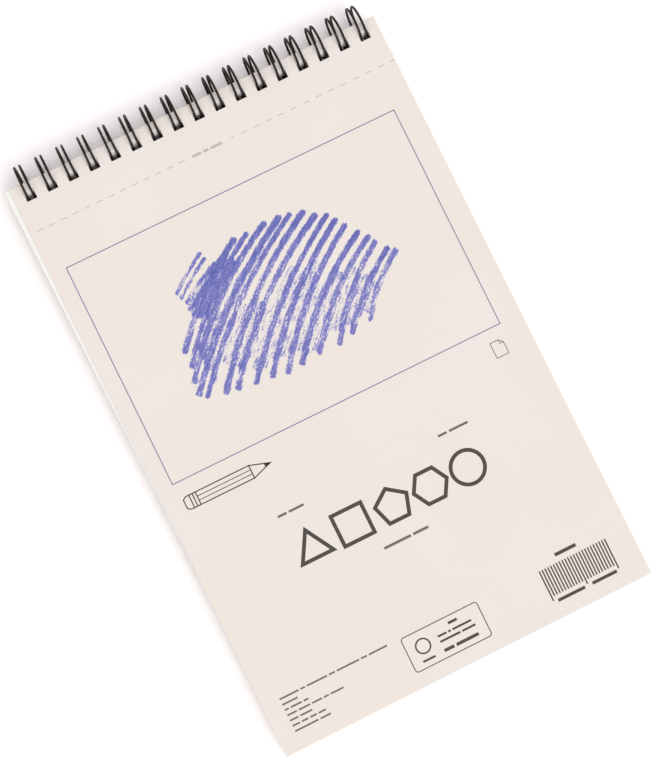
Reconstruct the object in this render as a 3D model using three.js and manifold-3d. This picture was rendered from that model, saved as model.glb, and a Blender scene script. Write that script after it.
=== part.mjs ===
// An A5 sketchbook of 60 sheets, bound along its top edge with a black twin-loop wire.
//
// Millimetres. The origin is the centre of the back board's outer face. +X runs along the binding,
// +Y towards the binding, and +Z from the back board up to the front cover.
//
// Every leaf turns about one line, the centre of the wire's loops. The loops are circles about that
// line, so the punched holes stay on the wire from 0 to 180 degrees.

import * as THREE from "three";
import { mergeVertices } from "three/addons/utils/BufferGeometryUtils.js";
import Module from "manifold-3d";

const wasm = await Module();
wasm.setup();

// Leaves: A5 below the tear line, with a binding strip above it.
const LEAF_WIDTH = 148;
const TEAR_OFF_HEIGHT = 210;
const BINDING_STRIP = 18;
const LEAF_HEIGHT = TEAR_OFF_HEIGHT + BINDING_STRIP;

// Stack, from the back board up. Leaves that turn apart have a little air between them.
const BOARD_THICKNESS = 1.2;
const SHEET_THICKNESS = 0.12;
const COVER_THICKNESS = 0.35;
const LEAF_GAP = 0.02;
const SHEET_COUNT = 60;
const SINGLE_SHEETS = 20;
const SHEETS_PER_BUNDLE = 8;
const BUNDLE_COUNT = (SHEET_COUNT - SINGLE_SHEETS) / SHEETS_PER_BUNDLE;
const LEAF_COUNT = BUNDLE_COUNT + SINGLE_SHEETS;
const STACK_HEIGHT = BOARD_THICKNESS + SHEET_COUNT * SHEET_THICKNESS + COVER_THICKNESS
  + (LEAF_COUNT + 1) * LEAF_GAP;

// Punching: square holes, three to the inch.
const LOOP_COUNT = 17;
const LOOP_PITCH = 25.4 / 3;
const HOLE_SIZE = 4;
const HOLE_MARGIN = 2.8;

// Twin-loop wire: each loop is a long narrow U bent into a ring, open at the root, closed at the tip.
const WIRE_DIAMETER = 0.9;
const WIRE_SIDES = 6;
const LOOP_RADIUS = 6.75;
const LOOP_AXIS_BEYOND_EDGE = 0.5;
const ROOT_HALF_WIDTH = 1.3;
const TIP_HALF_WIDTH = 0.9;
const ROOT_ANGLE = 238;
const TIP_ANGLE = -108;
const LEG_SEGMENTS = 13;
const TIP_SEGMENTS = 4;
const ROOT_CORNER_RADIUS = 0.8;
const ROOT_CORNER_SEGMENTS = 2;
const END_STUB = 1.5;

const LOOP_AXIS_Y = LEAF_HEIGHT / 2 + LOOP_AXIS_BEYOND_EDGE;
const LOOP_AXIS_Z = STACK_HEIGHT / 2;

const BOARD_GREY = new THREE.MeshStandardMaterial({ color: 0x8f877b, roughness: 0.95, metalness: 0 });
const PAPER_WHITE = new THREE.MeshStandardMaterial({ color: 0xf7f5ef, roughness: 0.9, metalness: 0 });
const COVER_CREAM = new THREE.MeshStandardMaterial({ color: 0xeee6da, roughness: 0.85, metalness: 0 });
const WIRE_BLACK = new THREE.MeshStandardMaterial({ color: 0x1b1817, roughness: 0.4, metalness: 0.2 });

function loopCentreX(index) {
  return (index - (LOOP_COUNT - 1) / 2) * LOOP_PITCH;
}

// A closed three.js geometry as a solid that can be cut.
function toSolid(geometry) {
  geometry.deleteAttribute("normal");
  geometry.deleteAttribute("uv");
  const merged = mergeVertices(geometry);
  return new wasm.Manifold(new wasm.Mesh({
    numProp: 3,
    vertProperties: new Float32Array(merged.attributes.position.array),
    triVerts: new Uint32Array(merged.index.array),
  }));
}

function toGeometry(solid) {
  const { vertProperties, triVerts } = solid.getMesh();
  const geometry = new THREE.BufferGeometry();
  geometry.setAttribute("position", new THREE.BufferAttribute(vertProperties, 3));
  geometry.setIndex(new THREE.BufferAttribute(triVerts, 1));
  geometry.computeVertexNormals();
  return geometry;
}

// A plain plate of paper or board with its row of square holes punched out. Its underside is at height 0.
function punchedPlate(thickness) {
  const plate = new THREE.BoxGeometry(LEAF_WIDTH, LEAF_HEIGHT, thickness);
  let solid = toSolid(plate.translate(0, 0, thickness / 2));
  const holeY = LEAF_HEIGHT / 2 - HOLE_MARGIN - HOLE_SIZE / 2;
  for (let i = 0; i < LOOP_COUNT; i += 1) {
    const punch = new THREE.BoxGeometry(HOLE_SIZE, HOLE_SIZE, 3 * thickness);
    solid = solid.subtract(toSolid(punch.translate(loopCentreX(i), holeY, 0)));
  }
  return toGeometry(solid);
}

function makeLeaf(name, plate, bottom, material) {
  const leaf = new THREE.Mesh(plate, material);
  leaf.name = name;
  leaf.position.z = bottom;
  return leaf;
}

function twoDigits(number) {
  return String(number).padStart(2, "0");
}

// The paper block from the back board up: bundles first, then the single sheets. Sheet 1 is on top.
function sheetBlocks() {
  const blocks = [];
  for (let last = SHEET_COUNT; last > SINGLE_SHEETS; last -= SHEETS_PER_BUNDLE) {
    const first = last - SHEETS_PER_BUNDLE + 1;
    blocks.push({ name: `sheets_${twoDigits(first)}_to_${twoDigits(last)}`, sheets: SHEETS_PER_BUNDLE });
  }
  for (let number = SINGLE_SHEETS; number >= 1; number -= 1) {
    blocks.push({ name: `sheet_${twoDigits(number)}`, sheets: 1 });
  }
  return blocks;
}

// A point on the loops' ring. The angle starts at the spine's outermost line and turns up over the cover.
function ringPoint(x, angle) {
  const radians = THREE.MathUtils.degToRad(angle);
  return new THREE.Vector3(
    x,
    LOOP_AXIS_Y + LOOP_RADIUS * Math.cos(radians),
    LOOP_AXIS_Z + LOOP_RADIUS * Math.sin(radians),
  );
}

function arcToAngle(length) {
  return THREE.MathUtils.radToDeg(length / LOOP_RADIUS);
}

// One side of a loop, from its root to where the tip's bend starts: points as [offset from centre, angle].
function legPoints() {
  const start = ROOT_ANGLE - arcToAngle(ROOT_CORNER_RADIUS);
  const end = TIP_ANGLE + arcToAngle(TIP_HALF_WIDTH);
  const points = [];
  for (let i = 0; i <= LEG_SEGMENTS; i += 1) {
    const share = i / LEG_SEGMENTS;
    points.push([
      THREE.MathUtils.lerp(ROOT_HALF_WIDTH, TIP_HALF_WIDTH, share),
      THREE.MathUtils.lerp(start, end, share),
    ]);
  }
  return points;
}

// The quarter bend from the straight root wire into a leg, without its last point, which the leg holds.
function rootCornerPoints() {
  const points = [];
  for (let i = 0; i < ROOT_CORNER_SEGMENTS; i += 1) {
    const turn = (Math.PI / 2) * (i / ROOT_CORNER_SEGMENTS);
    points.push([
      ROOT_HALF_WIDTH + ROOT_CORNER_RADIUS * (1 - Math.sin(turn)),
      ROOT_ANGLE - arcToAngle(ROOT_CORNER_RADIUS * (1 - Math.cos(turn))),
    ]);
  }
  return points;
}

// The half-round bend at the tip, without the two ends, which the legs hold.
function tipPoints() {
  const points = [];
  for (let i = 1; i < TIP_SEGMENTS; i += 1) {
    const turn = Math.PI * (i / TIP_SEGMENTS);
    points.push([
      -TIP_HALF_WIDTH * Math.cos(turn),
      TIP_ANGLE + arcToAngle(TIP_HALF_WIDTH * (1 - Math.sin(turn))),
    ]);
  }
  return points;
}

// The whole wire's centre line: in by the left root, round the ring, back round and out by the right root.
function wireCentreLine() {
  const leg = [...rootCornerPoints(), ...legPoints()];
  const leftSide = leg.map(([offset, angle]) => [-offset, angle]);
  const rightSide = [...leg].reverse();
  const loop = [...leftSide, ...tipPoints(), ...rightSide];
  const stubOffset = ROOT_HALF_WIDTH + ROOT_CORNER_RADIUS + END_STUB;
  const points = [ringPoint(loopCentreX(0) - stubOffset, ROOT_ANGLE)];
  for (let i = 0; i < LOOP_COUNT; i += 1) {
    for (const [offset, angle] of loop) points.push(ringPoint(loopCentreX(i) + offset, angle));
  }
  points.push(ringPoint(loopCentreX(LOOP_COUNT - 1) + stubOffset, ROOT_ANGLE));
  return points;
}

// A path through given points that is sampled at exactly those points.
class PolylinePath extends THREE.Curve {
  constructor(points) {
    super();
    this.points = points;
  }

  getUtoTmapping(u) {
    return u;
  }

  getPoint(t, target = new THREE.Vector3()) {
    const position = t * (this.points.length - 1);
    const index = Math.min(Math.floor(position), this.points.length - 2);
    return target.lerpVectors(this.points[index], this.points[index + 1], position - index);
  }

  // The direction through a point is the mean of the directions before it and after it.
  getTangent(t, target = new THREE.Vector3()) {
    const last = this.points.length - 1;
    const index = Math.round(t * last);
    const before = this.direction(Math.max(index - 1, 0));
    const after = this.direction(Math.min(index, last - 1));
    return target.copy(before).add(after).normalize();
  }

  direction(index) {
    return new THREE.Vector3().subVectors(this.points[index + 1], this.points[index]).normalize();
  }
}

function makeWire() {
  const points = wireCentreLine();
  const section = new THREE.Shape();
  for (let i = 0; i < WIRE_SIDES; i += 1) {
    const turn = (2 * Math.PI * i) / WIRE_SIDES;
    const corner = [(WIRE_DIAMETER / 2) * Math.cos(turn), (WIRE_DIAMETER / 2) * Math.sin(turn)];
    if (i === 0) section.moveTo(...corner);
    else section.lineTo(...corner);
  }
  section.closePath();
  const path = new PolylinePath(points);
  const geometry = new THREE.ExtrudeGeometry(section, { steps: points.length - 1, extrudePath: path });
  const wire = new THREE.Mesh(geometry, WIRE_BLACK);
  wire.name = "twin_loop_wire";
  return wire;
}

function makeSketchbook() {
  const sketchbook = new THREE.Group();
  const boardPlate = punchedPlate(BOARD_THICKNESS);
  const sheetPlate = punchedPlate(SHEET_THICKNESS);
  const bundlePlate = punchedPlate(SHEETS_PER_BUNDLE * SHEET_THICKNESS);
  const coverPlate = punchedPlate(COVER_THICKNESS);

  sketchbook.add(makeLeaf("back_board", boardPlate, 0, BOARD_GREY));
  let level = BOARD_THICKNESS + LEAF_GAP;
  for (const { name, sheets } of sheetBlocks()) {
    sketchbook.add(makeLeaf(name, sheets === 1 ? sheetPlate : bundlePlate, level, PAPER_WHITE));
    level += sheets * SHEET_THICKNESS + LEAF_GAP;
  }
  sketchbook.add(makeLeaf("front_cover", coverPlate, level, COVER_CREAM));
  sketchbook.add(makeWire());
  return sketchbook;
}

export default makeSketchbook();
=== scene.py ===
# An A5 sketchbook of 60 sheets, bound along its top edge with a black twin-loop wire.
#
# Everything is in metres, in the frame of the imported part: the origin is the centre of the back board's
# outer face, +X runs along the binding, +Y towards the binding, and +Z from the back board to the cover.

import math
import random

import bpy
import numpy as np
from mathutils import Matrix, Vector


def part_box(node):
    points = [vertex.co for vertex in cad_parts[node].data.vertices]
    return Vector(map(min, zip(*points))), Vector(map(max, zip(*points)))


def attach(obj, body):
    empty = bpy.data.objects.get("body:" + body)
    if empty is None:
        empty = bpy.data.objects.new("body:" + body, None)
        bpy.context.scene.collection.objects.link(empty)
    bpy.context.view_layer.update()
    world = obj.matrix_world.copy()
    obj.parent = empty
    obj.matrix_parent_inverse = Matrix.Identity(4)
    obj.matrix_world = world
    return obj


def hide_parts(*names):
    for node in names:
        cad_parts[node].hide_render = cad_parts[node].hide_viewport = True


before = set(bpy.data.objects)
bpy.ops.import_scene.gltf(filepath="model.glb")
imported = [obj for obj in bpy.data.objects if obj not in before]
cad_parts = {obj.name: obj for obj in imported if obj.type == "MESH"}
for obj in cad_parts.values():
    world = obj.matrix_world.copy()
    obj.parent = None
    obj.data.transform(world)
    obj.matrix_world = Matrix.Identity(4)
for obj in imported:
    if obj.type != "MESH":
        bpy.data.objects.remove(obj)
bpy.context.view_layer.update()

MM = 0.001

# Punching and wire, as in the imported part.
LOOP_COUNT = 17
LOOP_PITCH = 25.4 / 3 * MM
HOLE_SIZE = 4 * MM
HOLE_MARGIN = 2.8 * MM
WIRE_RADIUS = 0.45 * MM
LOOP_RADIUS = 6.75 * MM
LOOP_AXIS_BEYOND_EDGE = 0.5 * MM
ROOT_HALF_WIDTH = 1.3 * MM
TIP_HALF_WIDTH = 0.9 * MM
ROOT_ANGLE = 238
TIP_ANGLE = -108
ROOT_CORNER_RADIUS = 0.8 * MM
END_STUB = 1.5 * MM

BOARD_LOW, BOARD_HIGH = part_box("back_board")
COVER_LOW, COVER_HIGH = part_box("front_cover")
HALF_WIDTH = COVER_HIGH.x
HALF_HEIGHT = COVER_HIGH.y
LOOP_AXIS_Y = HALF_HEIGHT + LOOP_AXIS_BEYOND_EDGE
LOOP_AXIS_Z = COVER_HIGH.z / 2
HOLE_TOP = HALF_HEIGHT - HOLE_MARGIN
HOLE_BOTTOM = HOLE_TOP - HOLE_SIZE


# ---------------------------------------------------------------- meshes

def new_object(name, vertices, faces, material, smooth_below=None):
    """A mesh object. Edges that turn by less than smooth_below degrees are shaded smooth."""
    mesh = bpy.data.meshes.new(name)
    mesh.from_pydata(vertices, [], faces)
    mesh.validate()
    if smooth_below is not None:
        mesh.shade_smooth()
        mesh.set_sharp_from_angle(angle=math.radians(smooth_below))
    mesh.materials.append(material)
    made = bpy.data.objects.new(name, mesh)
    bpy.context.scene.collection.objects.link(made)
    return made


GRID_MERGE = 0.01 * MM


def grid_lines(values):
    """Sorted grid lines, with those that all but meet merged."""
    lines = []
    for value in sorted(values):
        if not lines or value - lines[-1] > GRID_MERGE:
            lines.append(value)
    return lines


def plate(xs, ys, is_solid, place):
    """A closed flat solid over the solid cells of a grid. place(x, y) gives a grid point's moved x and y,
    its underside and its top. Returns vertices, faces, and the grid point of each pair of vertices."""
    columns = len(xs) - 1
    rows = len(ys) - 1
    solid = np.zeros((columns + 2, rows + 2), bool)
    for i in range(columns):
        for j in range(rows):
            solid[i + 1, j + 1] = is_solid(i, j)
    points = {}
    vertices = []
    faces = []

    def point(i, j):
        if (i, j) not in points:
            points[i, j] = len(points)
            x, y, low, high = place(xs[i], ys[j])
            vertices.append((x, y, high))
            vertices.append((x, y, low))
        return 2 * points[i, j]

    for i in range(columns):
        for j in range(rows):
            if not solid[i + 1, j + 1]:
                continue
            corners = [point(i, j), point(i + 1, j), point(i + 1, j + 1), point(i, j + 1)]
            neighbours = [solid[i + 1, j], solid[i + 2, j + 1], solid[i + 1, j + 2], solid[i, j + 1]]
            faces.append(tuple(corners))
            faces.append(tuple(corner + 1 for corner in reversed(corners)))
            for side, covered in enumerate(neighbours):
                if not covered:
                    start = corners[side]
                    end = corners[(side + 1) % 4]
                    faces.append((start + 1, end + 1, end, start))
    return vertices, faces, list(points)


def tube(points, radius, sides, end_steps=4):
    """A closed tube along a line of points, with domed ends."""
    count = len(points)
    directions = []
    for i in range(count):
        along = points[min(i + 1, count - 1)] - points[max(i - 1, 0)]
        directions.append(along.normalized())
    up = directions[0].orthogonal().normalized()
    rings = []
    for point, direction in zip(points, directions):
        up = (up - direction * up.dot(direction)).normalized()
        rings.append((point, direction, up.copy(), radius))
    first, last = rings[0], rings[-1]
    caps = [math.radians(90 * k / end_steps) for k in range(1, end_steps)]
    for angle in caps:
        shrink = radius * math.cos(angle)
        reach = radius * math.sin(angle)
        rings.insert(0, (first[0] - first[1] * reach, first[1], first[2], shrink))
        rings.append((last[0] + last[1] * reach, last[1], last[2], shrink))
    vertices = [first[0] - first[1] * radius]
    for centre, direction, side_axis, size in rings:
        other_axis = direction.cross(side_axis)
        for k in range(sides):
            turn = 2 * math.pi * k / sides
            vertices.append(centre + (side_axis * math.cos(turn) + other_axis * math.sin(turn)) * size)
    vertices.append(last[0] + last[1] * radius)
    faces = []
    for k in range(sides):
        after = (k + 1) % sides
        faces.append((0, 1 + after, 1 + k))
        for ring in range(len(rings) - 1):
            a = 1 + ring * sides
            b = a + sides
            faces.append((a + k, a + after, b + after, b + k))
        a = 1 + (len(rings) - 1) * sides
        faces.append((a + k, a + after, len(vertices) - 1))
    return [tuple(v) for v in vertices], faces


# ---------------------------------------------------------------- materials

def srgb(red, green, blue):
    """A linear colour from 0 to 255 sRGB values."""
    def linear(value):
        share = value / 255
        return share / 12.92 if share <= 0.04045 else ((share + 0.055) / 1.055) ** 2.4
    return (linear(red), linear(green), linear(blue), 1)


CARD_WARM = srgb(216, 206, 198)
CARD_COOL = srgb(217, 209, 204)
CARD_FIBRE = srgb(220, 212, 205)
CARD_CORE = srgb(226, 221, 214)
PAPER_LIGHT = srgb(232, 231, 228)
PAPER_SHADE = srgb(220, 219, 215)
BOARD_BASE = srgb(150, 142, 131)
BOARD_PALE = srgb(172, 165, 154)
BOARD_DARK = srgb(104, 97, 89)
WIRE_BASE = srgb(32, 20, 18)
WIRE_RUBBED = srgb(50, 37, 34)
INK_DARK = srgb(54, 47, 42)
INK_WORN = srgb(88, 80, 74)
INK_FINE = srgb(96, 88, 81)
INK_FINE_WORN = srgb(124, 116, 109)
INK_GREY = srgb(170, 164, 157)
INK_GREY_WORN = srgb(192, 185, 177)
INK_BLUE = srgb(94, 92, 132)
INK_BLUE_WORN = srgb(128, 122, 154)
CRAYON_FULL = srgb(76, 81, 156)
CRAYON_THIN = srgb(126, 124, 186)


def node(tree, kind, inputs=None, **settings):
    """A shader node with its settings, and its inputs set to values or joined to other nodes' outputs."""
    made = tree.nodes.new(kind)
    for key, value in settings.items():
        setattr(made, key, value)
    for key, value in (inputs or {}).items():
        if isinstance(value, bpy.types.NodeSocket):
            tree.links.new(value, made.inputs[key])
        else:
            made.inputs[key].default_value = value
    return made


def new_material(name):
    """A material, its node tree, its Principled shader and the object's own coordinates."""
    material = bpy.data.materials.new(name)
    material.use_nodes = True
    tree = material.node_tree
    shader = tree.nodes["Principled BSDF"]
    coordinates = node(tree, "ShaderNodeTexCoord")
    return material, tree, shader, coordinates


def noise(tree, coordinates, scale, detail=2.0, roughness=0.5, stretch=None, turn=0.0):
    """Noise from 0 to 1 over the object's coordinates. The scale is in features a metre, and the features
    are stretch times as long along axes that are turned about Z."""
    vector = coordinates.outputs["Object"]
    if stretch is not None:
        mapping = node(tree, "ShaderNodeMapping", {
            "Vector": vector, "Rotation": (0, 0, turn), "Scale": stretch}, vector_type="TEXTURE")
        vector = mapping.outputs[0]
    made = node(tree, "ShaderNodeTexNoise", {
        "Vector": vector, "Scale": scale, "Detail": detail, "Roughness": roughness})
    return made.outputs["Fac"]


def ranged(tree, value, low, high, to_low, to_high, smooth=False):
    """The value's range from low to high mapped to another one, and clamped."""
    kind = "SMOOTHSTEP" if smooth else "LINEAR"
    return node(tree, "ShaderNodeMapRange", {
        "Value": value, "From Min": low, "From Max": high, "To Min": to_low, "To Max": to_high},
        interpolation_type=kind).outputs[0]


def mixed(tree, share, first, second):
    """Two colours mixed; share 0 gives the first."""
    made = node(tree, "ShaderNodeMix", data_type="RGBA")
    for socket, value in ((made.inputs[0], share), (made.inputs[6], first), (made.inputs[7], second)):
        if isinstance(value, bpy.types.NodeSocket):
            tree.links.new(value, socket)
        else:
            socket.default_value = value
    return made.outputs[2]


def math_node(tree, operation, first, second):
    made = node(tree, "ShaderNodeMath", {0: first, 1: second}, operation=operation)
    return made.outputs[0]


def join(tree, socket, value):
    """The node output value, linked to an input socket."""
    tree.links.new(value, socket)


def add_bump(tree, shader, height, strength, distance):
    made = node(tree, "ShaderNodeBump", {"Height": height, "Strength": strength, "Distance": distance})
    join(tree, shader.inputs["Normal"], made.outputs[0])


def card_colour(tree, coordinates):
    """Cream card with soft clouds and fine fibres, and a paler core at its cut edges."""
    clouds = ranged(tree, noise(tree, coordinates, scale=28, detail=3), 0.3, 0.7, 0, 1)
    fibres = ranged(tree, noise(tree, coordinates, scale=1500, detail=3), 0.3, 0.7, 0, 0.5)
    base = mixed(tree, clouds, CARD_WARM, CARD_COOL)
    base = mixed(tree, fibres, base, CARD_FIBRE)
    normal = node(tree, "ShaderNodeSeparateXYZ", {"Vector": coordinates.outputs["Normal"]})
    facing = math_node(tree, "ABSOLUTE", normal.outputs["Z"], 0.0)
    return mixed(tree, ranged(tree, facing, 0.3, 0.6, 1, 0), base, CARD_CORE)


def make_card():
    material, tree, shader, coordinates = new_material("cover_card")
    join(tree, shader.inputs["Base Color"], card_colour(tree, coordinates))
    grain = noise(tree, coordinates, scale=1700, detail=5, roughness=0.65)
    join(tree, shader.inputs["Roughness"], ranged(tree, grain, 0.3, 0.7, 0.7, 0.92))
    add_bump(tree, shader, grain, strength=0.6, distance=0.05 * MM)
    return material


def make_paper():
    material, tree, shader, coordinates = new_material("drawing_paper")
    fibres = noise(tree, coordinates, scale=900, detail=4, roughness=0.6)
    colour = mixed(tree, ranged(tree, fibres, 0.3, 0.7, 0, 1), PAPER_SHADE, PAPER_LIGHT)
    join(tree, shader.inputs["Base Color"], colour)
    tooth = noise(tree, coordinates, scale=2200, detail=5, roughness=0.65)
    join(tree, shader.inputs["Roughness"], ranged(tree, tooth, 0.3, 0.7, 0.8, 0.96))
    add_bump(tree, shader, tooth, strength=0.35, distance=0.05 * MM)
    return material


def make_board():
    material, tree, shader, coordinates = new_material("grey_board")
    clouds = ranged(tree, noise(tree, coordinates, scale=60, detail=4), 0.35, 0.65, 0, 0.35)
    base = mixed(tree, clouds, BOARD_BASE, BOARD_PALE)
    fibres = noise(tree, coordinates, scale=420, detail=6, roughness=0.7, stretch=(1, 2.8, 1), turn=0.2)
    base = mixed(tree, ranged(tree, fibres, 0.45, 0.72, 0, 0.55), base, BOARD_PALE)
    specks = noise(tree, coordinates, scale=950, stretch=(1, 2, 1), turn=-0.5)
    base = mixed(tree, ranged(tree, specks, 0.68, 0.76, 0, 0.8), base, BOARD_DARK)
    join(tree, shader.inputs["Base Color"], base)
    join(tree, shader.inputs["Roughness"], ranged(tree, fibres, 0.3, 0.7, 0.8, 0.97))
    add_bump(tree, shader, fibres, strength=0.45, distance=0.08 * MM)
    return material


def make_wire_coat():
    material, tree, shader, coordinates = new_material("coated_wire")
    rubbed = noise(tree, coordinates, scale=260, detail=4, roughness=0.6)
    colour = mixed(tree, ranged(tree, rubbed, 0.5, 0.8, 0, 0.6), WIRE_BASE, WIRE_RUBBED)
    join(tree, shader.inputs["Base Color"], colour)
    fine = noise(tree, coordinates, scale=1800, detail=3)
    join(tree, shader.inputs["Roughness"], ranged(tree, fine, 0.3, 0.7, 0.36, 0.54))
    shader.inputs["Specular IOR Level"].default_value = 0.2
    add_bump(tree, shader, fine, strength=0.2, distance=0.02 * MM)
    return material


def make_ink(name, full, worn):
    """Printing ink that thins a little over the card's grain."""
    material, tree, shader, coordinates = new_material(name)
    grain = noise(tree, coordinates, scale=2600, detail=4, roughness=0.6)
    colour = mixed(tree, ranged(tree, grain, 0.45, 0.75, 0, 1), full, worn)
    join(tree, shader.inputs["Base Color"], colour)
    join(tree, shader.inputs["Roughness"], ranged(tree, grain, 0.3, 0.7, 0.55, 0.75))
    return material


def make_crayon():
    """Wax crayon: pigment where the stroke presses on the card's grain, and bare card between."""
    material, tree, shader, coordinates = new_material("blue_crayon")
    pressure = node(tree, "ShaderNodeAttribute", attribute_name=PRESSURE).outputs["Fac"]
    tooth = noise(tree, coordinates, scale=1300, detail=3, roughness=0.6)
    streaks = noise(tree, coordinates, scale=1500, stretch=(6, 1, 1), turn=HATCH_SLOPE)
    grain = math_node(tree, "ADD", math_node(tree, "MULTIPLY", tooth, 0.5),
                      math_node(tree, "MULTIPLY", streaks, 0.5))
    grain = ranged(tree, grain, 0.36, 0.64, 0, 1)
    lift = math_node(tree, "SUBTRACT", pressure, math_node(tree, "MULTIPLY", grain, CRAYON_SKIP))
    touched = ranged(tree, pressure, 0.05, 0.25, 0, 1)
    cover = math_node(tree, "MULTIPLY", touched, ranged(tree, lift, -0.1, 0.36, 0, 1, smooth=True))
    wax = mixed(tree, ranged(tree, lift, 0.15, 0.8, 0, 1), CRAYON_THIN, CRAYON_FULL)
    join(tree, shader.inputs["Base Color"], mixed(tree, cover, card_colour(tree, coordinates), wax))
    join(tree, shader.inputs["Roughness"], ranged(tree, cover, 0, 1, 0.82, 0.5))
    add_bump(tree, shader, math_node(tree, "ADD", tooth, cover), strength=0.3, distance=0.03 * MM)
    return material


# ---------------------------------------------------------------- back board, sheets and cover

def loop_centre(index):
    return (index - (LOOP_COUNT - 1) / 2) * LOOP_PITCH


def hole_edges():
    return [loop_centre(i) + side * HOLE_SIZE / 2 for i in range(LOOP_COUNT) for side in (-1, 1)]


def in_hole(x, y, drop=0.0):
    """Whether a point lies in a hole, for holes punched lower by drop than the cover's."""
    if not HOLE_BOTTOM - drop < y < HOLE_TOP - drop:
        return False
    return any(abs(x - loop_centre(i)) < HOLE_SIZE / 2 for i in range(LOOP_COUNT))


BOARD_EDGE = 0.12 * MM
COVER_EDGE = 0.05 * MM
EDGE_EASE = 0.7


def make_punched_plate(name, low, high, edge, material):
    """A punched plate between two heights, whose outer edges are eased by the distance edge."""
    outline_x = [-HALF_WIDTH, -HALF_WIDTH + edge, HALF_WIDTH - edge, HALF_WIDTH]
    outline_y = [-HALF_HEIGHT, -HALF_HEIGHT + edge, HALF_HEIGHT - edge, HALF_HEIGHT]
    xs = grid_lines(outline_x + hole_edges())
    ys = grid_lines(outline_y + [HOLE_BOTTOM, HOLE_TOP])

    def is_solid(i, j):
        return not in_hole((xs[i] + xs[i + 1]) / 2, (ys[j] + ys[j + 1]) / 2)

    def place(x, y):
        on_rim = abs(x) > HALF_WIDTH - edge / 2 or abs(y) > HALF_HEIGHT - edge / 2
        ease = edge * EDGE_EASE if on_rim else 0
        return x, y, low + ease, high - ease

    vertices, faces, _ = plate(xs, ys, is_solid, place)
    return new_object(name, vertices, faces, material)


# Sheets: each is a separate leaf with its own fine cuts along the tear line. Their long edges are trimmed
# a little askew, so that they show beside the cover, more and more towards the binding. Their holes lie
# lower than the cover's, and lowest half way down the stack, where the ring of the loops bulges most.
TEAR_LINE_Y = HALF_HEIGHT - 18 * MM
CUT_PITCH = 2 * MM
CUT_LENGTH = 1.2 * MM
CUT_WIDTH = 0.12 * MM
CUT_SPAN = 144 * MM
ASKEW = math.radians(0.62)
ASKEW_LEVEL_Y = -46 * MM
TRIM_WIDTH = 4.2 * MM
SHEET_SPREAD = 0.11 * MM
SHEET_SHARE = 0.955
HOLE_DROP = 0.8 * MM
HOLE_DROP_AT_MIDDLE = 1.2 * MM
HOLE_SPREAD = 0.03 * MM
LEAN_SPREAD = 0.0004
SHEET_SEED = 1000
NEAR_EDGE = 0.1 * MM


def cut_starts():
    count = round(CUT_SPAN / CUT_PITCH)
    first = -CUT_SPAN / 2 + (CUT_PITCH - CUT_LENGTH) / 2
    return [first + i * CUT_PITCH for i in range(count)]


def sheet_grid():
    starts = cut_starts()
    cuts = [x for start in starts for x in (start, start + CUT_LENGTH)]
    xs = grid_lines([-HALF_WIDTH, HALF_WIDTH] + hole_edges() + cuts)
    cut_rows = [TEAR_LINE_Y - CUT_WIDTH / 2, TEAR_LINE_Y + CUT_WIDTH / 2]
    hole_rows = [HOLE_BOTTOM - HOLE_DROP, HOLE_TOP - HOLE_DROP]
    ys = grid_lines([-HALF_HEIGHT, HALF_HEIGHT] + hole_rows + cut_rows)
    solid = {}
    for i in range(len(xs) - 1):
        x = (xs[i] + xs[i + 1]) / 2
        in_cut = any(start < x < start + CUT_LENGTH for start in starts)
        for j in range(len(ys) - 1):
            y = (ys[j] + ys[j + 1]) / 2
            cut_here = in_cut and abs(y - TEAR_LINE_Y) < CUT_WIDTH / 2
            solid[i, j] = not cut_here and not in_hole(x, y, HOLE_DROP)
    return xs, ys, solid


def make_sheet(number, low, high, grid, material):
    """One sheet between two heights, trimmed and punched a little differently from its neighbours."""
    xs, ys, solid = grid
    dice = random.Random(SHEET_SEED + number)
    slip_x = dice.gauss(0, SHEET_SPREAD)
    slip_low_y = dice.gauss(0, SHEET_SPREAD)
    slip_high_y = dice.gauss(0, SHEET_SPREAD)
    lean = ASKEW + dice.gauss(0, LEAN_SPREAD)
    from_middle = (low - LOOP_AXIS_Z) / LOOP_AXIS_Z
    bulge = HOLE_DROP_AT_MIDDLE * (1 - from_middle ** 2) + dice.gauss(0, HOLE_SPREAD)

    def place(x, y):
        trim = max(0.0, abs(x) - (HALF_WIDTH - TRIM_WIDTH)) / TRIM_WIDTH
        moved_x = x + trim * (slip_x - lean * (y - ASKEW_LEVEL_Y))
        moved_y = y
        if y > HALF_HEIGHT - NEAR_EDGE:
            moved_y += slip_high_y
        elif y > HOLE_BOTTOM - HOLE_DROP - NEAR_EDGE:
            moved_y -= bulge
        if y < -HALF_HEIGHT + NEAR_EDGE:
            moved_y += slip_low_y
        return moved_x, moved_y, low, high

    vertices, faces, _ = plate(xs, ys, lambda i, j: solid[i, j], place)
    return new_object(f"page_{number:02d}", vertices, faces, material)


def sheet_numbers(name):
    """The sheets a CAD node holds, from the lowest to the highest, or an empty list."""
    words = name.split("_")
    if words[0] == "sheet":
        return [int(words[1])]
    if words[0] == "sheets":
        return list(range(int(words[3]), int(words[1]) - 1, -1))
    return []


def make_sheets(material):
    grid = sheet_grid()
    for name in sorted(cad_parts):
        numbers = sheet_numbers(name)
        if not numbers:
            continue
        low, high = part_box(name)
        pitch = (high.z - low.z) / len(numbers)
        for level, number in enumerate(numbers):
            bottom = low.z + level * pitch
            page = make_sheet(number, bottom, bottom + SHEET_SHARE * pitch, grid, material)
            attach(page, name)
            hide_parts(name)


def make_leaves():
    board = make_punched_plate("chip_board", BOARD_LOW.z, BOARD_HIGH.z, BOARD_EDGE, make_board())
    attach(board, "back_board")
    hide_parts("back_board")
    make_sheets(make_paper())
    card = make_punched_plate("cover_sheet", COVER_LOW.z, COVER_HIGH.z, COVER_EDGE, make_card())
    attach(card, "front_cover")
    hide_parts("front_cover")


# ---------------------------------------------------------------- twin-loop wire

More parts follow.
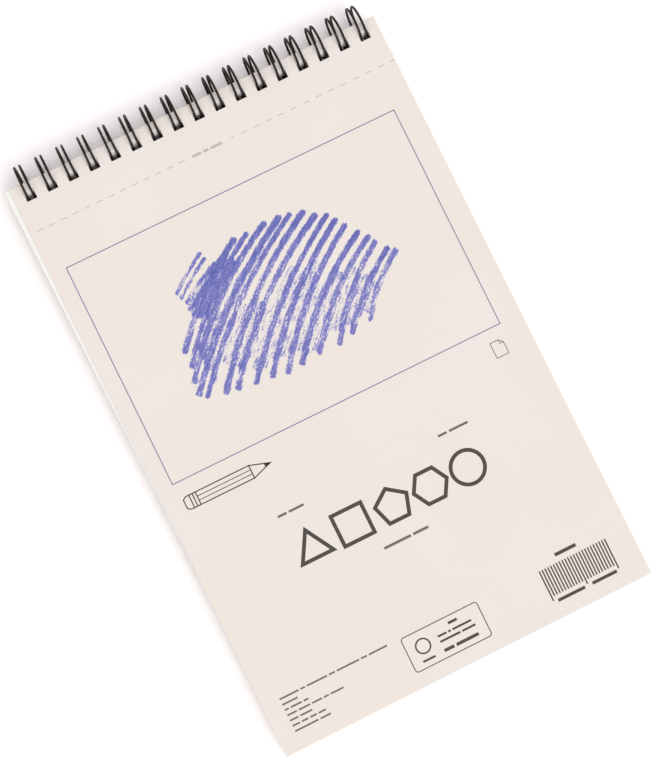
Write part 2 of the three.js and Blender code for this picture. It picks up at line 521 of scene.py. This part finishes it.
LEG_STEPS = 44
TIP_STEPS = 12
CORNER_STEPS = 6
WIRE_SIDES = 14


def ring_point(x, angle):
    """A point on the loops' ring; the angle starts at the outermost line and turns up over the cover."""
    turn = math.radians(angle)
    y = LOOP_AXIS_Y + LOOP_RADIUS * math.cos(turn)
    z = LOOP_AXIS_Z + LOOP_RADIUS * math.sin(turn)
    return Vector((x, y, z))


def arc_angle(length):
    return math.degrees(length / LOOP_RADIUS)


def blend_values(first, second, share):
    return first + (second - first) * share


def leg_points():
    """One side of a loop from the straight root wire to the tip, as pairs of offset and angle."""
    points = []
    for i in range(CORNER_STEPS):
        turn = math.pi / 2 * i / CORNER_STEPS
        points.append((ROOT_HALF_WIDTH + ROOT_CORNER_RADIUS * (1 - math.sin(turn)),
                       ROOT_ANGLE - arc_angle(ROOT_CORNER_RADIUS * (1 - math.cos(turn)))))
    start = ROOT_ANGLE - arc_angle(ROOT_CORNER_RADIUS)
    end = TIP_ANGLE + arc_angle(TIP_HALF_WIDTH)
    for i in range(LEG_STEPS + 1):
        share = i / LEG_STEPS
        offset = blend_values(ROOT_HALF_WIDTH, TIP_HALF_WIDTH, share)
        points.append((offset, blend_values(start, end, share)))
    return points


def tip_points():
    """The half-round bend at the tip, without its two ends, as pairs of offset and angle."""
    points = []
    for i in range(1, TIP_STEPS):
        turn = math.pi * i / TIP_STEPS
        points.append((-TIP_HALF_WIDTH * math.cos(turn),
                       TIP_ANGLE + arc_angle(TIP_HALF_WIDTH * (1 - math.sin(turn)))))
    return points


def make_wire(material):
    """The whole wire: in by the left root, round each loop and back, and out by the right root."""
    leg = leg_points()
    loop = [(-offset, angle) for offset, angle in leg] + tip_points() + leg[::-1]
    stub = ROOT_HALF_WIDTH + ROOT_CORNER_RADIUS + END_STUB - WIRE_RADIUS
    line = [ring_point(loop_centre(0) - stub, ROOT_ANGLE)]
    for i in range(LOOP_COUNT):
        line += [ring_point(loop_centre(i) + offset, angle) for offset, angle in loop]
    line.append(ring_point(loop_centre(LOOP_COUNT - 1) + stub, ROOT_ANGLE))
    vertices, faces = tube(line, WIRE_RADIUS, WIRE_SIDES)
    wire = new_object("loop_wire", vertices, faces, material, smooth_below=50)
    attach(wire, "twin_loop_wire")
    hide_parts("twin_loop_wire")


# ---------------------------------------------------------------- print on the cover
#
# Places and sizes of the print are in millimetres, right of the cover's left edge and above its lower edge.

INK_DEPTH = 0.01 * MM
INK_PROUD = 0.01 * MM


def on_cover(x, y):
    """A point of the cover, from millimetres right of its left edge and above its lower edge."""
    return Vector((x * MM - HALF_WIDTH, y * MM - HALF_HEIGHT))


class InkLayer:
    """Print as thin closed prisms, set into the cover's outer face and a hair proud of it."""

    def __init__(self, name, material):
        self.name = name
        self.material = material
        self.vertices = []
        self.faces = []

    def stroke(self, points, width, closed=False, end_width=None):
        """A line of a width in millimetres through points in cover millimetres, mitred at its corners."""
        line = [on_cover(*point) for point in points]
        count = len(line)
        first = len(self.vertices)
        for i, point in enumerate(line):
            directions = []
            if closed or i > 0:
                directions.append((point - line[i - 1]).normalized())
            if closed or i < count - 1:
                directions.append((line[(i + 1) % count] - point).normalized())
            along = sum(directions, Vector((0, 0))).normalized()
            size = width if end_width is None else blend_values(width, end_width, i / (count - 1))
            reach = size * MM / 2 / along.dot(directions[0])
            across = Vector((-along.y, along.x)) * reach
            for spot in (point + across, point - across):
                self.vertices.append((spot.x, spot.y, COVER_HIGH.z + INK_PROUD))
                self.vertices.append((spot.x, spot.y, COVER_HIGH.z - INK_DEPTH))
        steps = count if closed else count - 1
        for i in range(steps):
            left = first + 4 * i
            right = left + 2
            next_left = first + 4 * ((i + 1) % count)
            next_right = next_left + 2
            self.faces.append((right, next_right, next_left, left))
            self.faces.append((left + 1, next_left + 1, next_right + 1, right + 1))
            self.faces.append((right + 1, next_right + 1, next_right, right))
            self.faces.append((next_left + 1, left + 1, left, next_left))
        if not closed:
            last = first + 4 * (count - 1)
            self.faces.append((first + 1, first + 3, first + 2, first))
            self.faces.append((last + 3, last + 1, last, last + 2))

    def bar(self, x, y, length, height):
        """A bar that starts at x and is centred on y."""
        self.stroke([(x, y), (x + length, y)], height)

    def words(self, x, y, lengths, height, gap):
        """A row of bars that stands for a line of small print."""
        for length in lengths:
            self.bar(x, y, length, height)
            x += length + gap

    def finish(self):
        made = new_object(self.name, self.vertices, self.faces, self.material)
        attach(made, "front_cover")


def rectangle(x0, y0, x1, y1):
    return [(x0, y0), (x1, y0), (x1, y1), (x0, y1)]


def rounded_rectangle(x0, y0, x1, y1, radius, steps=6):
    corners = ((x1 - radius, y0 + radius, -90), (x1 - radius, y1 - radius, 0),
               (x0 + radius, y1 - radius, 90), (x0 + radius, y0 + radius, 180))
    points = []
    for x, y, start in corners:
        for i in range(steps + 1):
            turn = math.radians(start + 90 * i / steps)
            points.append((x + radius * math.cos(turn), y + radius * math.sin(turn)))
    return points


def polygon(x, y, radius, sides, first_angle):
    """A regular polygon whose first corner lies at first_angle degrees from its centre."""
    turns = [math.radians(first_angle + 360 * i / sides) for i in range(sides)]
    return [(x + radius * math.cos(turn), y + radius * math.sin(turn)) for turn in turns]


FRAME_CORNERS = (6.35, 105.95, 139.25, 193.4)
FRAME_LINE = 0.34


def print_frame(ink):
    layer = InkLayer("print_frame", ink)
    layer.stroke(rectangle(*FRAME_CORNERS), FRAME_LINE, closed=True)
    layer.finish()


DASH_COUNT = 13
DASH_LENGTH = 2.4
DASH_WIDTH = 0.3
DASHES_END = 147.9
TEAR_LINE_PRINT_Y = 210


def print_tear_line(ink):
    """Dashes left and right of a note, which is a row of bars. The last dash stops at the cover's edge."""
    layer = InkLayer("print_tear_line", ink)
    for i in range(DASH_COUNT):
        layer.bar(2.7 + 4.76 * i, TEAR_LINE_PRINT_Y, DASH_LENGTH, DASH_WIDTH)
        start = 84.9 + 5.09 * i
        layer.bar(start, TEAR_LINE_PRINT_Y, min(DASH_LENGTH, DASHES_END - start), DASH_WIDTH)
    layer.bar(80.8, TEAR_LINE_PRINT_Y, 1.4, DASH_WIDTH)
    layer.words(65.2, TEAR_LINE_PRINT_Y, (3.6, 2.2, 4.6), 1.0, 0.8)
    layer.finish()


SHAPE_Y = 64.2
SHAPE_STROKE = 1.45


def print_shapes(ink):
    """Five plain shapes in a row."""
    layer = InkLayer("print_shapes", ink)
    layer.stroke(polygon(42, SHAPE_Y - 1.4, 7.2, 3, 90), SHAPE_STROKE, closed=True)
    layer.stroke(rectangle(52.4, SHAPE_Y - 6, 64.4, SHAPE_Y + 6), SHAPE_STROKE, closed=True)
    layer.stroke(polygon(74.6, SHAPE_Y - 0.4, 6.7, 5, 90), SHAPE_STROKE, closed=True)
    layer.stroke(polygon(89.9, SHAPE_Y, 6.7, 6, 0), SHAPE_STROKE, closed=True)
    layer.stroke(polygon(105.2, SHAPE_Y, 6.3, 72, 0), SHAPE_STROKE, closed=True)
    layer.finish()


def print_pencil(ink):
    """A small line drawing of a pencil."""
    layer = InkLayer("print_pencil", ink)
    low, high, middle = 95, 100, 97.5
    line = 0.44
    layer.stroke(rectangle(12.5, low, 34, high), line, closed=True)
    layer.stroke([(12.5, 96.7), (34, 96.7)], line * 0.7)
    layer.stroke([(12.5, 98.3), (34, 98.3)], line * 0.7)
    layer.stroke([(34, high), (41.5, middle), (34, low)], line)
    layer.stroke([(39.2, middle), (42.2, middle)], 1.3, end_width=0.1)
    layer.stroke([(12.5, high), (8.6, high), (7.4, 99.2), (7.4, 95.8), (8.6, low), (12.5, low)], line)
    for x in (9.9, 11.2):
        layer.stroke([(x, low), (x, high)], line)
    layer.finish()


def print_page_mark(ink):
    """A small sheet of paper with a folded corner."""
    layer = InkLayer("print_page_mark", ink)
    left, right, low, high = 132.6, 137.4, 94.9, 100.9
    fold = 1.5
    outline = [(left, low), (right, low), (right, high - fold), (right - fold, high), (left, high)]
    layer.stroke(outline, 0.3, closed=True)
    layer.stroke([(right - fold, high), (right - fold, high - fold), (right, high - fold)], 0.25)
    layer.finish()


ADDRESS_LINES = (
    (19.6, (7.6, 1.8, 8.2, 2.4, 9.0, 2.4, 7.4)),
    (17.4, (6.2,)),
    (15.3, (1.6, 4.4, 2.0)),
    (13.2, (3.8, 4.6, 4.0, 2.0, 5.2)),
    (11.1, (3.4, 4.8)),
    (9.0, (3.0, 2.6, 2.6, 3.0)),
    (6.9, (9.4, 4.2)),
)
BAR_COUNT = 24
BAR_PITCH = 1.16
BAR_WIDTH = 0.55
FIRST_BAR_X = 111.6
BAR_HIGH = 18.8
BAR_LOW = 8.4
LONG_BAR_LOW = 6.9
LONG_BARS = (0, BAR_COUNT // 2, BAR_COUNT - 1)


def print_small_lines(ink):
    """Rows of plain bars where a cover carries its small print."""
    layer = InkLayer("print_small_lines", ink)
    layer.words(35.2, 78.6, (3.6, 6.0), 0.9, 0.9)
    layer.words(100.4, 79, (3.6, 7.6), 0.9, 0.9)
    layer.words(64.8, 51.3, (10.8, 6.2), 1.0, 0.9)
    for y, lengths in ADDRESS_LINES:
        layer.words(6.9, y, lengths, 0.66, 0.75)
    layer.finish()


def print_label(ink):
    """A rounded label that holds a plain ring and rows of bars."""
    layer = InkLayer("print_label", ink)
    layer.stroke(rounded_rectangle(55.4, 5.9, 86.1, 19.4, 1.1), 0.36, closed=True)
    layer.stroke(polygon(61.8, 13.6, 2.7, 40, 0), 0.6, closed=True)
    layer.bar(59.3, 8.4, 5, 0.8)
    layer.words(73.5, 16.9, (3.6,), 1.0, 0.6)
    layer.words(68, 14.2, (3.6, 1.0, 7.6), 0.8, 0.7)
    layer.words(68, 12.1, (8.2, 5.4), 0.8, 0.7)
    layer.words(68, 8.6, (4.0, 9.0), 1.2, 0.9)
    layer.finish()


def print_bars(ink):
    """A block of evenly spaced upright bars, with plain rows above and below it."""
    layer = InkLayer("print_bars", ink)
    for i in range(BAR_COUNT):
        x = FIRST_BAR_X + i * BAR_PITCH
        low = LONG_BAR_LOW if i in LONG_BARS else BAR_LOW
        layer.stroke([(x, low), (x, BAR_HIGH)], BAR_WIDTH)
    layer.words(113.2, 6.3, (11.0,), 1.2, 0.9)
    layer.words(127.2, 6.3, (10.0,), 1.2, 0.9)
    layer.words(119.4, 21.6, (8.6,), 1.3, 0.9)
    layer.finish()


# ---------------------------------------------------------------- crayon hatching

PRESSURE = "crayon_pressure"
HATCH_SLOPE = math.radians(43)
HATCH_STARTS = ((32.5, 147), (29, 129.5), (50, 126), (72, 124), (97, 128.5))
HATCH_ENDS = ((65, 176), (86, 176.5), (99, 169.5), (108, 157), (117, 146))
LONG_STROKES = 15
RETURN_STROKES = 24
CLUMP_STROKES = 5
THIN_STROKES = 4
STROKE_HALF_WIDTH = 1.36
STROKE_BOW = 0.05
HATCH_GRID = 0.4
HATCH_BOX = (24, 118, 120, 181)
BARE_BELOW = 0.02
CRAYON_SKIP = 0.72
MIDDLE_LIFT = 0.36
MIDDLE_SHIFT = 0.65
STROKE_CORE = 1.25
STROKE_FALL = 2.2
FULL_PIGMENT = 0.97
HATCH_SEED = 21


def along_line(points, share):
    """The point at a share of the way along a line of points, counted by segments."""
    position = share * (len(points) - 1)
    index = min(int(position), len(points) - 2)
    rest = position - index
    return tuple(blend_values(a, b, rest) for a, b in zip(points[index], points[index + 1]))


def bowed_line(start, end, bow, steps=24):
    """A line from start to end that bows to its left by a share of its length."""
    a = np.array(start)
    b = np.array(end)
    across = np.array([-(b - a)[1], (b - a)[0]]) * bow
    shares = np.linspace(0, 1, steps + 1)[:, None]
    return a + (b - a) * shares + across * 4 * shares * (1 - shares)


def jittered(dice, point, spread):
    return tuple(value + dice.uniform(-spread, spread) for value in point)


def long_strokes(dice):
    """The main strokes, side by side, that press hard at both ends and fade towards the lower right."""
    strokes = []
    for i in range(LONG_STROKES):
        share = i / (LONG_STROKES - 1)
        start = jittered(dice, along_line(HATCH_STARTS, share), 1.0)
        end = jittered(dice, along_line(HATCH_ENDS, share), 0.7)
        line = bowed_line(start, end, STROKE_BOW + dice.uniform(-0.006, 0.006))
        fade = 1 - 0.12 * max(0.0, share - 0.6) / 0.4
        strokes.append((line, STROKE_HALF_WIDTH * dice.uniform(0.85, 1.1),
                        fade * dice.uniform(0.8, 0.95), fade * dice.uniform(0.95, 1.1)))
    return strokes


def return_strokes(dice):
    """Lighter strokes between the main ones, in the lower part of the patch."""
    strokes = []
    for i in range(RETURN_STROKES):
        share = 0.1 + 0.88 * i / (RETURN_STROKES - 1)
        start = np.array(along_line(HATCH_STARTS, share))
        end = np.array(along_line(HATCH_ENDS, share))
        line = bowed_line(start, end, STROKE_BOW)
        first = round(len(line) * dice.uniform(0.06, 0.2))
        last = round(len(line) * dice.uniform(0.45, 0.8))
        strokes.append((line[first:last], STROKE_HALF_WIDTH * dice.uniform(0.9, 1.3),
                        dice.uniform(0.46, 0.6), dice.uniform(0.36, 0.5)))
    return strokes


def short_strokes(dice):
    """A heavy clump at the upper left, and a few thin strokes beside it."""
    strokes = []
    for i in range(CLUMP_STROKES):
        start = (40 + 1.1 * i + dice.uniform(-0.5, 0.5), 159.5 + dice.uniform(-1.2, 1.2) - 0.9 * i)
        end = (start[0] + dice.uniform(15, 20), start[1] + dice.uniform(12, 14.5))
        strokes.append((bowed_line(start, end, 0.03), STROKE_HALF_WIDTH, 0.75, 1.0))
    for i in range(THIN_STROKES):
        start = (38 + 1.2 * i + dice.uniform(-0.6, 0.6), 167.5 - 2.2 * i)
        end = (start[0] + dice.uniform(13, 16), start[1] + dice.uniform(8, 9.5))
        strokes.append((bowed_line(start, end, 0.02), STROKE_HALF_WIDTH * 0.65, 0.85, 0.95))
    return strokes


def stroke_field(line, half_width, start_pressure, end_pressure, x, y):
    """The pressure that one stroke leaves at each point of a grid."""
    best = np.full(x.shape, 1e9)
    share = np.zeros(x.shape)
    count = len(line) - 1
    for i in range(count):
        a = line[i]
        step = line[i + 1] - a
        position = np.clip(((x - a[0]) * step[0] + (y - a[1]) * step[1]) / step.dot(step), 0, 1)
        distance = np.hypot(x - a[0] - position * step[0], y - a[1] - position * step[1])
        nearer = distance < best
        best = np.where(nearer, distance, best)
        share = np.where(nearer, (i + position) / count, share)
    body = np.clip(STROKE_CORE - (best / half_width) ** STROKE_FALL, 0, 1)
    middle = 1 - MIDDLE_LIFT * np.sin(np.pi * share ** MIDDLE_SHIFT)
    return body * (start_pressure + (end_pressure - start_pressure) * share) * middle


def make_hatching(material):
    """A thin plate wherever the strokes leave pigment. It carries their pressure at each point."""
    x0, y0, x1, y1 = HATCH_BOX
    xs = np.arange(x0, x1 + HATCH_GRID / 2, HATCH_GRID)
    ys = np.arange(y0, y1 + HATCH_GRID / 2, HATCH_GRID)
    grid_x, grid_y = np.meshgrid(xs, ys, indexing="ij")
    dice = random.Random(HATCH_SEED)
    bare = np.ones(grid_x.shape)
    for stroke in long_strokes(dice) + return_strokes(dice) + short_strokes(dice):
        bare *= 1 - np.clip(stroke_field(*stroke, grid_x, grid_y), 0, FULL_PIGMENT)
    field = 1 - bare
    pigment = (field[:-1, :-1] + field[1:, :-1] + field[:-1, 1:] + field[1:, 1:]) > BARE_BELOW
    high = COVER_HIGH.z + INK_PROUD
    low = COVER_HIGH.z - INK_DEPTH

    def place(x, y):
        spot = on_cover(x, y)
        return spot.x, spot.y, low, high

    vertices, faces, points = plate(xs, ys, lambda i, j: pigment[i, j], place)
    made = new_object("crayon_hatching", vertices, faces, material)
    attribute = made.data.attributes.new(PRESSURE, "FLOAT", "POINT")
    values = np.repeat([field[i, j] for i, j in points], 2)
    attribute.data.foreach_set("value", values.astype(np.float32))
    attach(made, "front_cover")


def make_print():
    ink = make_ink("dark_ink", INK_DARK, INK_WORN)
    print_frame(make_ink("blue_ink", INK_BLUE, INK_BLUE_WORN))
    print_tear_line(make_ink("grey_ink", INK_GREY, INK_GREY_WORN))
    print_shapes(ink)
    print_pencil(ink)
    fine_ink = make_ink("fine_ink", INK_FINE, INK_FINE_WORN)
    print_page_mark(fine_ink)
    print_small_lines(fine_ink)
    print_label(ink)
    print_bars(ink)
    make_hatching(make_crayon())


# ---------------------------------------------------------------- floor, light and camera

FLOOR_SIZE = 40.0
FLOOR_COLOUR = srgb(250, 244, 244)
FLOOR_SHADE = srgb(248, 242, 242)
FLOOR_GLOW = 0.1
FLOOR_GAP = 0.02 * MM
GLOW_EDGE = 1 * MM


def floor_glow(tree, coordinates):
    """A faint glow of the floor around the pad, and none under it, so that its holes stay dark."""
    place = node(tree, "ShaderNodeSeparateXYZ", {"Vector": coordinates.outputs["Object"]})
    beyond = []
    for axis, half in (("X", HALF_WIDTH), ("Y", HALF_HEIGHT)):
        distance = math_node(tree, "ABSOLUTE", place.outputs[axis], 0.0)
        beyond.append(math_node(tree, "SUBTRACT", distance, half))
    outside = math_node(tree, "MAXIMUM", *beyond)
    return ranged(tree, outside, -GLOW_EDGE, 0, 0, FLOOR_GLOW)


def make_floor():
    """A pale floor that the pad rests on: on the wire's loops and on the board's lower edge."""
    material, tree, shader, coordinates = new_material("floor_paint")
    clouds = noise(tree, coordinates, scale=3)
    join(tree, shader.inputs["Base Color"], mixed(tree, clouds, FLOOR_COLOUR, FLOOR_SHADE))
    shader.inputs["Roughness"].default_value = 0.9
    shader.inputs["Emission Color"].default_value = (1, 1, 1, 1)
    join(tree, shader.inputs["Emission Strength"], floor_glow(tree, coordinates))
    loops_low = LOOP_AXIS_Z - LOOP_RADIUS - WIRE_RADIUS
    slope = (loops_low - BOARD_LOW.z) / (LOOP_AXIS_Y - BOARD_LOW.y)

    def height(y):
        return BOARD_LOW.z + slope * (y - BOARD_LOW.y) - FLOOR_GAP

    half = FLOOR_SIZE / 2
    outline = ((-half, -half), (half, -half), (half, half), (-half, half))
    corners = [(x, y, height(y)) for x, y in outline]
    floor = new_object("floor", corners, [(0, 1, 2, 3)], material)


WORLD_STRENGTH = 0.88
BACKDROP_STRENGTH = 1.1
KEY_STRENGTH = 1.55
KEY_AZIMUTH = math.radians(18)
KEY_ELEVATION = math.radians(47)
KEY_SPREAD = math.radians(48)


def make_light():
    """An even white surround that looks as bright as the floor, and one wide soft light from beyond the
    pad's lower edge."""
    world = bpy.data.worlds.new("studio")
    world.use_nodes = True
    tree = world.node_tree
    seen = node(tree, "ShaderNodeLightPath").outputs["Is Camera Ray"]
    background = tree.nodes["Background"]
    background.inputs["Color"].default_value = (1, 1, 1, 1)
    join(tree, background.inputs["Strength"], ranged(tree, seen, 0, 1, WORLD_STRENGTH, BACKDROP_STRENGTH))
    bpy.context.scene.world = world
    data = bpy.data.lights.new("key_light", "SUN")
    data.energy = KEY_STRENGTH
    data.angle = KEY_SPREAD
    light = bpy.data.objects.new("key_light", data)
    light.rotation_euler = (math.pi / 2 - KEY_ELEVATION, 0, KEY_AZIMUTH)
    light.location = (0, -1, 1)
    bpy.context.scene.collection.objects.link(light)


CAMERA_LENS = 91.8
CAMERA_SENSOR = 36
CAMERA_NEAR = 0.01
CAMERA_FAR = 50
CAMERA_PLACE = (-0.046, -0.01853, 0.7092)
CAMERA_TURNS = (3.1332, -2.6001, -26.3043)


def make_camera():
    """A camera above the cover that looks almost straight down, turned so that the pad lies slanted."""
    data = bpy.data.cameras.new("camera")
    data.sensor_width = CAMERA_SENSOR
    data.lens = CAMERA_LENS
    data.clip_start = CAMERA_NEAR
    data.clip_end = CAMERA_FAR
    camera = bpy.data.objects.new("camera", data)
    camera.location = CAMERA_PLACE
    camera.rotation_euler = [math.radians(turn) for turn in CAMERA_TURNS]
    bpy.context.scene.collection.objects.link(camera)
    bpy.context.scene.camera = camera


make_leaves()
make_wire(make_wire_coat())
make_print()
make_floor()
make_light()
make_camera()
bpy.context.scene.view_settings.view_transform = "Standard"
